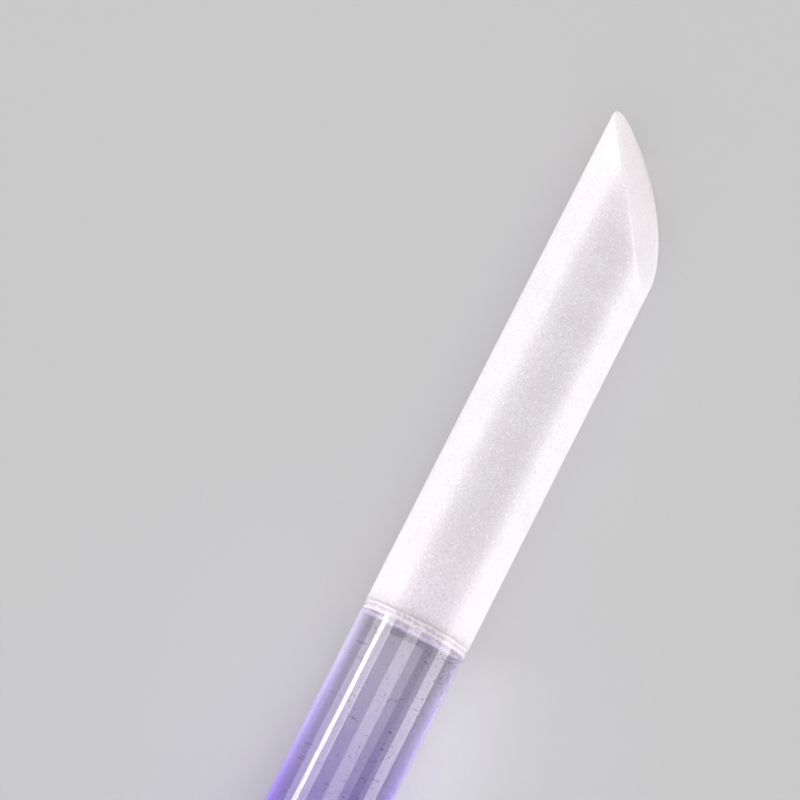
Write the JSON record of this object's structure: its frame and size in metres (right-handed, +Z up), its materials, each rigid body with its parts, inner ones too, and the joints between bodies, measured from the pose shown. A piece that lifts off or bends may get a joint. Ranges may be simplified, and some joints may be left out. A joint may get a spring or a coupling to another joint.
{
  "type": "cuticle pusher",
  "caption": "Round double-ended glass stick: clear tinted grip between two frosted tips, one ground to a point, the other to a slanted pushing face.",
  "frame": {"origin": "on the stick's axis at the middle of its length", "axes": "+X along the stick's axis towards the slanted tip, +Z up as the stick is laid down, with the slanted face turned to the front, -Y, and a little up"},
  "size_m": [0.12, 0.007, 0.007],
  "materials": {
    "frosted_glass": "acid-etched satin white",
    "clear_glass": "polished clear",
    "violet_lacquer": "transparent violet lacquer, sprayed deeper towards the middle",
    "clear_adhesive": "wet-looking cured clear adhesive"
  },
  "bodies": {
    "root": {"pointed_tip": "frosted_glass", "slanted_tip": "frosted_glass", "grip_rod": "clear_glass", "grip_tint_coat": "violet_lacquer", "pointed_tip_bond": "clear_adhesive", "slanted_tip_bond": "clear_adhesive"}
  },
  "joints": []
}
